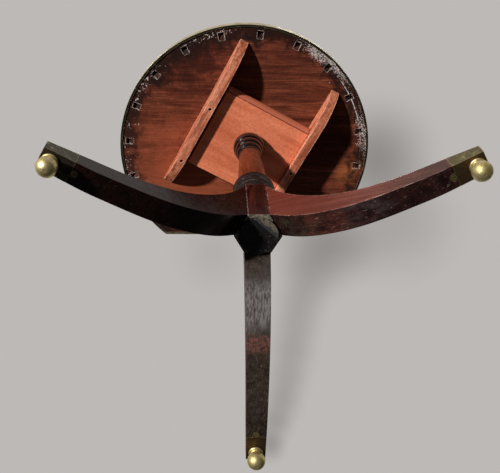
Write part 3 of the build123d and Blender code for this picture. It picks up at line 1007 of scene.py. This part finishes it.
HUB_MAHOGANY = LegTimber(
    name="hub_mahogany",
    dark=tone(34, 8, 7),
    light=tone(72, 27, 17),
    figure_width=0.01,
    streak_width=0.005,
    streak_strength=0.45,
    pore=tone(24, 8, 6),
    # The pale line at the hub's edges: partly wear, partly painted highlight
    wear_and_highlight=tone(186, 150, 142),
    grime=tone(28, 9, 8),
    roughness=0.16,
    specular=0.1,
    wear_and_highlight_strength=0.8,
    wear_and_highlight_radius=0.0035,
    relief=0.00003,
    under_dark=tone(60, 56, 46),
    under_light=tone(128, 120, 102),
    under_mottle=0.007,
    scratches=tone(214, 206, 190),
    scratch_strength=0.9,
)
# Settings the legs share; their arris strength sets pale arrises that are partly wear and partly painted
# highlight
LEG_SHARED_FINISH = dict(
    pore=tone(26, 12, 10),
    grime=tone(34, 20, 16),
    wear_and_highlight_strength=0.9,
    relief=0.00003,
)
# Away from the hub the leg's grey-brown colour is partly a painted sheen; towards the hub it turns to the
# redder wood without it
LEFT_MAHOGANY = LegTimber(
    name="left_leg_mahogany",
    dark=tone(34, 20, 15),
    light=tone(54, 36, 29),
    near_hub=tone(38, 9, 5),
    near_hub_reach=0.26,
    near_hub_strength=0.9,
    under_dark=tone(10, 5, 3),
    under_light=tone(28, 12, 9),
    scratches=tone(74, 62, 56),
    scratch_strength=0.4,
    wear_and_highlight=tone(150, 96, 78),
    roughness=0.14,
    specular=0.19,
    **LEG_SHARED_FINISH,
)
RIGHT_MAHOGANY = LegTimber(
    name="right_leg_mahogany",
    dark=tone(76, 35, 24),
    light=tone(134, 76, 62),
    figure_width=0.016,
    streak_width=0.004,
    streak_strength=0.35,
    near_hub=tone(92, 32, 20),
    near_hub_reach=0.2,
    near_hub_strength=0.75,
    near_foot=tone(58, 34, 28),
    near_foot_from=0.19,
    near_foot_strength=0.75,
    under_dark=tone(18, 8, 8),
    under_light=tone(42, 22, 20),
    patches=(
        LegPatch(0.08, 0.06, 0.4, tone(66, 58, 44), 0.02, 3.0),
        LegPatch(0.13, 0.07, 0.5, tone(88, 44, 34), 0.014, 2.0),
        LegPatch(0.2, 0.06, 0.5, tone(66, 54, 54), 0.022, 3.0, 0.38),
    ),
    under_mottle=0.022,
    scratches=tone(170, 140, 122),
    scratch_strength=0.35,
    # The pale line along this leg's arrises is a painted highlight
    wear_and_highlight=tone(250, 212, 196),
    wear_and_highlight_radius=0.0035,
    roughness=0.3,
    specular=0.2,
    **LEG_SHARED_FINISH,
)
FRONT_MAHOGANY = LegTimber(
    name="front_leg_mahogany",
    dark=tone(50, 32, 28),
    light=tone(76, 50, 44),
    under_dark=tone(36, 27, 22),
    under_light=tone(58, 47, 40),
    # The two grey patches at the leg's middle are a painted sheen, the reddish one is wear, and the last
    # darkens the leg towards its foot
    patches=(
        LegPatch(0.11, 0.07, 0.3, tone(84, 78, 78), 0.03, 2.0, 0.3),
        LegPatch(0.111, 0.045, 0.85, tone(112, 107, 107), 0.0035, 9.0, 0.4),
        LegPatch(0.17, 0.02, 0.5, tone(132, 80, 70), 0.004),
        LegPatch(0.37, 0.11, 0.85, tone(26, 18, 13), 0.02),
    ),
    scratches=tone(128, 118, 110),
    scratch_strength=0.45,
    wear_and_highlight=tone(186, 130, 108),
    specular=0.1,
    **LEG_SHARED_FINISH,
)
UPPER_BLACK = BlackPolish(
    name="upper_black_polish", black=tone(14, 8, 10), rubbed=tone(66, 44, 44), specular=0.8
)
LOWER_BLACK = BlackPolish(
    name="lower_black_polish",
    black=tone(26, 12, 10),
    # Its pale arrises are partly wear and partly painted highlight
    rubbed=tone(160, 144, 138),
    roughness=0.16,
    rub_and_highlight_strength=0.7,
    dulled=0.03,
    specular=0.18,
)
# The boss's near-black is painted shade, the left leg's shadow; past a straight line its lit part shows grey
# and bare scuffs
BOSS_PAINTED_SHADE = BlackPolish(
    name="boss_painted_shade",
    black=tone(20, 16, 17),
    rubbed=tone(60, 54, 46),
    roughness=0.5,
    specular=0.25,
    shadow_edge_scuff=ShadowEdgeScuff((-0.672, 0.741, 0.0), 0.0653, tone(104, 94, 78), tone(54, 52, 52)),
)
FOOT_BRASS = OldBrass(
    name="foot_brass",
    bright=tone(228, 210, 154),
    olive=tone(184, 166, 108),
    brown=tone(112, 94, 56),
    below=tone(196, 182, 130),
    tarnish=0.45,
    metal=0.9,
    roughness=0.4,
)
SABOT_BRASS = OldBrass(
    name="sabot_brass",
    bright=tone(190, 176, 124),
    olive=tone(118, 106, 74),
    brown=tone(64, 50, 34),
    # Painted shade darkens the undersides
    below=tone(84, 60, 44),
    underside_shading_strength=0.8,
    tarnish=0.85,
    roughness=0.42,
    scratch=0.8,
)
GREY_SABOT_BRASS = replace(
    SABOT_BRASS,
    name="grey_sabot_brass",
    bright=tone(184, 176, 150),
    olive=tone(90, 86, 72),
    # Painted shade on the undersides
    below=tone(48, 38, 30),
)
RIM_BRASS = OldBrass(
    name="rim_brass",
    bright=tone(246, 232, 194),
    olive=tone(202, 188, 142),
    brown=tone(84, 72, 46),
    # Painted shade makes the flange's underside nearly black
    below=tone(52, 44, 26),
    underside_shading_strength=0.9,
    roughness=0.36,
)
# The straight edging's underside is painted lighter, as if lit
STRAIGHT_RIM_BRASS = replace(RIM_BRASS, name="straight_rim_brass", below=tone(170, 156, 116))
CATCH_BRASS = OldBrass(
    name="catch_brass",
    bright=tone(214, 190, 118),
    olive=tone(150, 130, 74),
    brown=tone(80, 64, 36),
    below=tone(150, 130, 74),
)
SCREW_STEEL = ScrewSteel(name="old_steel", grey=tone(150, 144, 136), rust=tone(96, 64, 44))


@dataclass
class TableTop:
    """The board, its brass edging and the two battens."""

    batten_arris: float = 0.0011
    edging_arris: float = 0.0004
    board_arris: float = 0.0005
    low: Vector = field(default_factory=lambda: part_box("top_board")[0])
    high: Vector = field(default_factory=lambda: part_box("top_board")[1])

    def board_finish(self) -> BoardTimber:
        """Work the board's finish out from its size.

        Returns:
            The finish.
        """
        radius = (self.high.x - self.low.x) / 2
        return replace(
            BOARD_MAHOGANY,
            centre=((self.low.x + self.high.x) / 2, self.high.y - radius, 0.0),
            radius=radius,
            straight_side=self.low.y,
            face_height=self.high.z,
            under_height=self.low.z,
        )

    def make(self) -> None:
        """Dress every piece of the top."""
        dress("top_board", self.board_finish().material(Grain.ACROSS_ROOM), self.board_arris)
        dress("rim_arc", RIM_BRASS.material(), self.edging_arris)
        dress("rim_straight", STRAIGHT_RIM_BRASS.material(), self.edging_arris)
        dress("rim_screws", SCREW_STEEL.material())
        for place, node in enumerate(("batten_left", "batten_right")):
            dress(node, BATTEN_MAHOGANY.material(Grain.ALONG_BATTENS, 0.3 + place), self.batten_arris)
        dress("batten_screws", SCREW_STEEL.material())


@dataclass
class TippingBlock:
    """The block that the top tips on, its pins and the catch."""

    arris: float = 0.0012
    brass_arris: float = 0.0004

    def make(self) -> None:
        """Dress the block, the pins and the catch."""
        dress("pivot_block", BLOCK_MAHOGANY.material(Grain.ALONG_PINS, 0.9), self.arris)
        pins = BATTEN_MAHOGANY.material(Grain.ALONG_PINS, 2.1)
        for node in ("pivot_pin_left", "pivot_pin_right"):
            dress(node, pins)
        brass = CATCH_BRASS.material()
        for node in ("catch_plate", "catch_bolt", "catch_keeper"):
            dress(node, brass, self.brass_arris)
        for node in ("catch_plate_screws", "catch_keeper_screws"):
            dress(node, brass)


@dataclass
class Column:
    """The turned shaft between its black collars, down to the six-sided hub and its cap."""

    hub_arris: float = 0.0009

    def make(self) -> None:
        """Dress the column."""
        dress("column_shaft", SHAFT_MAHOGANY.material(Grain.UPRIGHT, 0.2))
        dress("tenon_wedge", BATTEN_MAHOGANY.material(Grain.UPRIGHT, 0.6))
        dress("upper_collar", UPPER_BLACK.material())
        dress("lower_collar", LOWER_BLACK.material(0.5))
        dress("hub", HUB_MAHOGANY.material(Grain.UPRIGHT, 1.3), self.hub_arris)
        dress("base_boss", BOSS_PAINTED_SHADE.material(1.7))


@dataclass
class Tripod:
    """The three legs with their brass ends and ball feet."""

    leg_arris: float = 0.0012
    sabot_arris: float = 0.0006

    def make(self) -> None:
        """Dress the legs, their brass ends and their feet."""
        legs = (
            ("left", LEFT_MAHOGANY, Grain.LEFT_LEG, GREY_SABOT_BRASS),
            ("right", RIGHT_MAHOGANY, Grain.RIGHT_LEG, SABOT_BRASS),
            ("front", FRONT_MAHOGANY, Grain.FRONT_LEG, SABOT_BRASS),
        )
        for place, (side, finish, grain, brass) in enumerate(legs):
            dress("leg_" + side, finish.material(grain, 0.37 * place), self.leg_arris)
            dress("sabot_" + side, brass.material(0.21 * place), self.sabot_arris)
            dress("ball_foot_" + side, FOOT_BRASS.material(0.13 * place))
        dress("sabot_screws", SABOT_BRASS.material(0.9))


def stand(name: str, data: bpy.types.ID) -> bpy.types.Object:
    """Put a new object into the scene.

    Args:
        name: The object's name.
        data: Its mesh, lamp or lens.

    Returns:
        The object.
    """
    thing = bpy.data.objects.new(name, data)
    bpy.context.scene.collection.objects.link(thing)
    return thing


@dataclass(frozen=True)
class Shade:
    """A soft shadow on the backdrop: its direction, how far it reaches on a unit ball, and its depth."""

    direction: Place
    reach: float
    depth: float


@dataclass(frozen=True)
class Studio:
    """The floor, the light and the camera."""

    floor_half: float = 9.0
    floor_colour: Colour = tone(150, 148, 146)
    floor_glow: float = 0.7
    floor_roughness: float = 0.8
    floor_mottle: float = 0.06
    backdrop: Colour = tone(189, 185, 182)
    dark_room: Colour = (0.05, 0.047, 0.045)
    shades: tuple[Shade, ...] = (
        Shade((-0.135, -0.446, 0.885), 0.077, 0.4),
        Shade((-0.201, -0.339, 0.919), 0.092, 0.45),
        Shade((-0.231, -0.411, 0.882), 0.096, 0.22),
        Shade((-0.178, -0.442, 0.879), 0.064, 0.14),
        Shade((-0.115, -0.488, 0.865), 0.054, 0.2),
        Shade((-0.106, -0.519, 0.848), 0.046, 0.2),
        Shade((-0.100, -0.547, 0.831), 0.043, 0.2),
        Shade((-0.095, -0.572, 0.814), 0.042, 0.21),
        Shade((-0.089, -0.597, 0.797), 0.038, 0.22),
        Shade((-0.082, -0.619, 0.781), 0.036, 0.24),
        Shade((-0.074, -0.638, 0.767), 0.031, 0.26),
        Shade((-0.069, -0.656, 0.751), 0.026, 0.34),
        Shade((0.001, -0.458, 0.889), 0.067, 0.12),
    )
    ambient: float = 0.08
    ambient_colour: Colour = (0.97, 0.98, 1.0)
    room_top: float = 0.35
    room_dark_below: float = 0.1
    key_from: Place = (0.68, 0.57, -0.46)
    key_strength: float = 5.0
    key_spread: float = 3.0
    overhead_place: Place = (-0.15, -0.4, 3.0)
    overhead_size: float = 1.5
    overhead_power: float = 48.0
    camera_place: Place = (0.0784, 0.6912, -1.1075)
    camera_right: Place = (-0.99901, 0.02462, -0.03692)
    camera_ahead: Place = (-0.04399, -0.43966, 0.89708)
    focal_pixels: float = 781.76
    seen_from: float = 0.02
    seen_to: float = 60.0

    def lay_floor(self) -> None:
        """Lay a floor that shows and takes shadows from above and lets all light through from below."""
        half = self.floor_half
        corners = [(-half, -half, 0), (half, -half, 0), (half, half, 0), (-half, half, 0)]
        mesh = bpy.data.meshes.new("floor")
        mesh.from_pydata(corners, [], [(0, 1, 2, 3)])
        shader = Shader("pale_floor")
        paper = shader.step(shader.noise(Waves(3.0)), 0.3, 0.7, 0.0, self.floor_mottle)
        shown = shader.named(
            "ShaderNodeBsdfPrincipled",
            Base_Color=shader.mix(paper, self.floor_colour, self.backdrop),
            Roughness=self.floor_roughness,
            Emission_Color=self.backdrop,
            Emission_Strength=self.floor_glow,
        )
        shader.material.cycles.emission_sampling = "NONE"
        behind = shader.node("ShaderNodeNewGeometry").outputs["Backfacing"]
        hidden = shader.largest(behind, shader.rays("Shadow", "Diffuse", "Glossy"))
        clear = shader.node("ShaderNodeBsdfTransparent").outputs[0]
        mesh.materials.append(shader.finish(shader.blend(hidden, shown, clear)))
        floor = stand("floor", mesh)

    def set_world(self) -> None:
        """Show a grey backdrop with painted soft shadows, mirror a darker room below and light the pieces a
        little.
        """
        world = bpy.data.worlds.new("studio")
        bpy.context.scene.world = world
        world.use_nodes = True
        nodes = Nodes(world.node_tree)
        direction = nodes.coordinates["Generated"]
        height = nodes.part(direction, "Z")
        lower = nodes.node("ShaderNodeMapRange", height, self.room_top, self.room_dark_below)
        dark = nodes.times(lower.outputs[0], nodes.rays("Glossy"))
        colour = nodes.mix(dark, self.shade_backdrop(nodes, direction), self.dark_room)
        ambient = nodes.named("ShaderNodeBackground", Color=self.ambient_colour, Strength=self.ambient)
        shown = nodes.named("ShaderNodeBackground", Color=colour, Strength=1.0)
        seen = nodes.rays("Camera", "Glossy", "Transmission")
        nodes.node("ShaderNodeOutputWorld", nodes.blend(seen, ambient, shown))

    def shade_backdrop(self, nodes: Nodes, direction: Socket) -> Socket:
        """Lay the table's soft shadows on the backdrop.

        Args:
            nodes: The world's node tree.
            direction: The direction in which the backdrop is seen.

        Returns:
            The backdrop's colour.
        """
        lit = self.backdrop
        for shade in self.shades:
            away = nodes.vector("DISTANCE", direction, shade.direction)
            left = nodes.step(away, shade.reach, 0.0, 1.0, 1.0 - shade.depth)
            lit = nodes.vector("MULTIPLY", lit, left)
        return lit

    def light(self) -> None:
        """Light the table from below its top and, softly, from above."""
        key = bpy.data.lights.new("key", "SUN")
        key.energy = self.key_strength
        key.angle = math.radians(self.key_spread)
        overhead = bpy.data.lights.new("overhead", "AREA")
        overhead.size = self.overhead_size
        overhead.energy = self.overhead_power
        above = Vector(self.overhead_place)
        middle = (CAD_LOW + CAD_HIGH) / 2
        hung = ((key, Vector(), -Vector(self.key_from)), (overhead, above, middle - above))
        for light, place, towards in hung:
            lamp = stand(light.name, light)
            lamp.location = place
            lamp.rotation_mode = "QUATERNION"
            lamp.rotation_quaternion = towards.to_track_quat("-Z", "Y")

    def place_camera(self) -> None:
        """Put the camera where the photograph was taken from, as the table lay on its side."""
        lens = bpy.data.cameras.new("camera")
        lens.sensor_width = SENSOR_WIDTH
        lens.lens = self.focal_pixels * SENSOR_WIDTH / PHOTO_WIDTH
        lens.clip_start = self.seen_from
        lens.clip_end = self.seen_to
        back = -Vector(self.camera_ahead).normalized()
        right = Vector(self.camera_right)
        right = (right - back * right.dot(back)).normalized()
        up = back.cross(right)
        turn = Matrix((right, up, back)).transposed()
        camera = stand("camera", lens)
        camera.matrix_world = Matrix.Translation(self.camera_place) @ turn.to_4x4()
        bpy.context.scene.camera = camera

    def make(self) -> None:
        """Set the studio up."""
        self.lay_floor()
        self.set_world()
        self.light()
        self.place_camera()
        bpy.context.scene.view_settings.view_transform = "Standard"


def main() -> None:
    """Dress the table, part by part, and set it in the studio."""
    logging.basicConfig(level=logging.INFO, format="%(name)s: %(message)s")
    for assembly in (TableTop(), TippingBlock(), Column(), Tripod(), Studio()):
        assembly.make()
        LOG.info("%s is done", type(assembly).__name__)


if __name__ == "__main__":
    main()
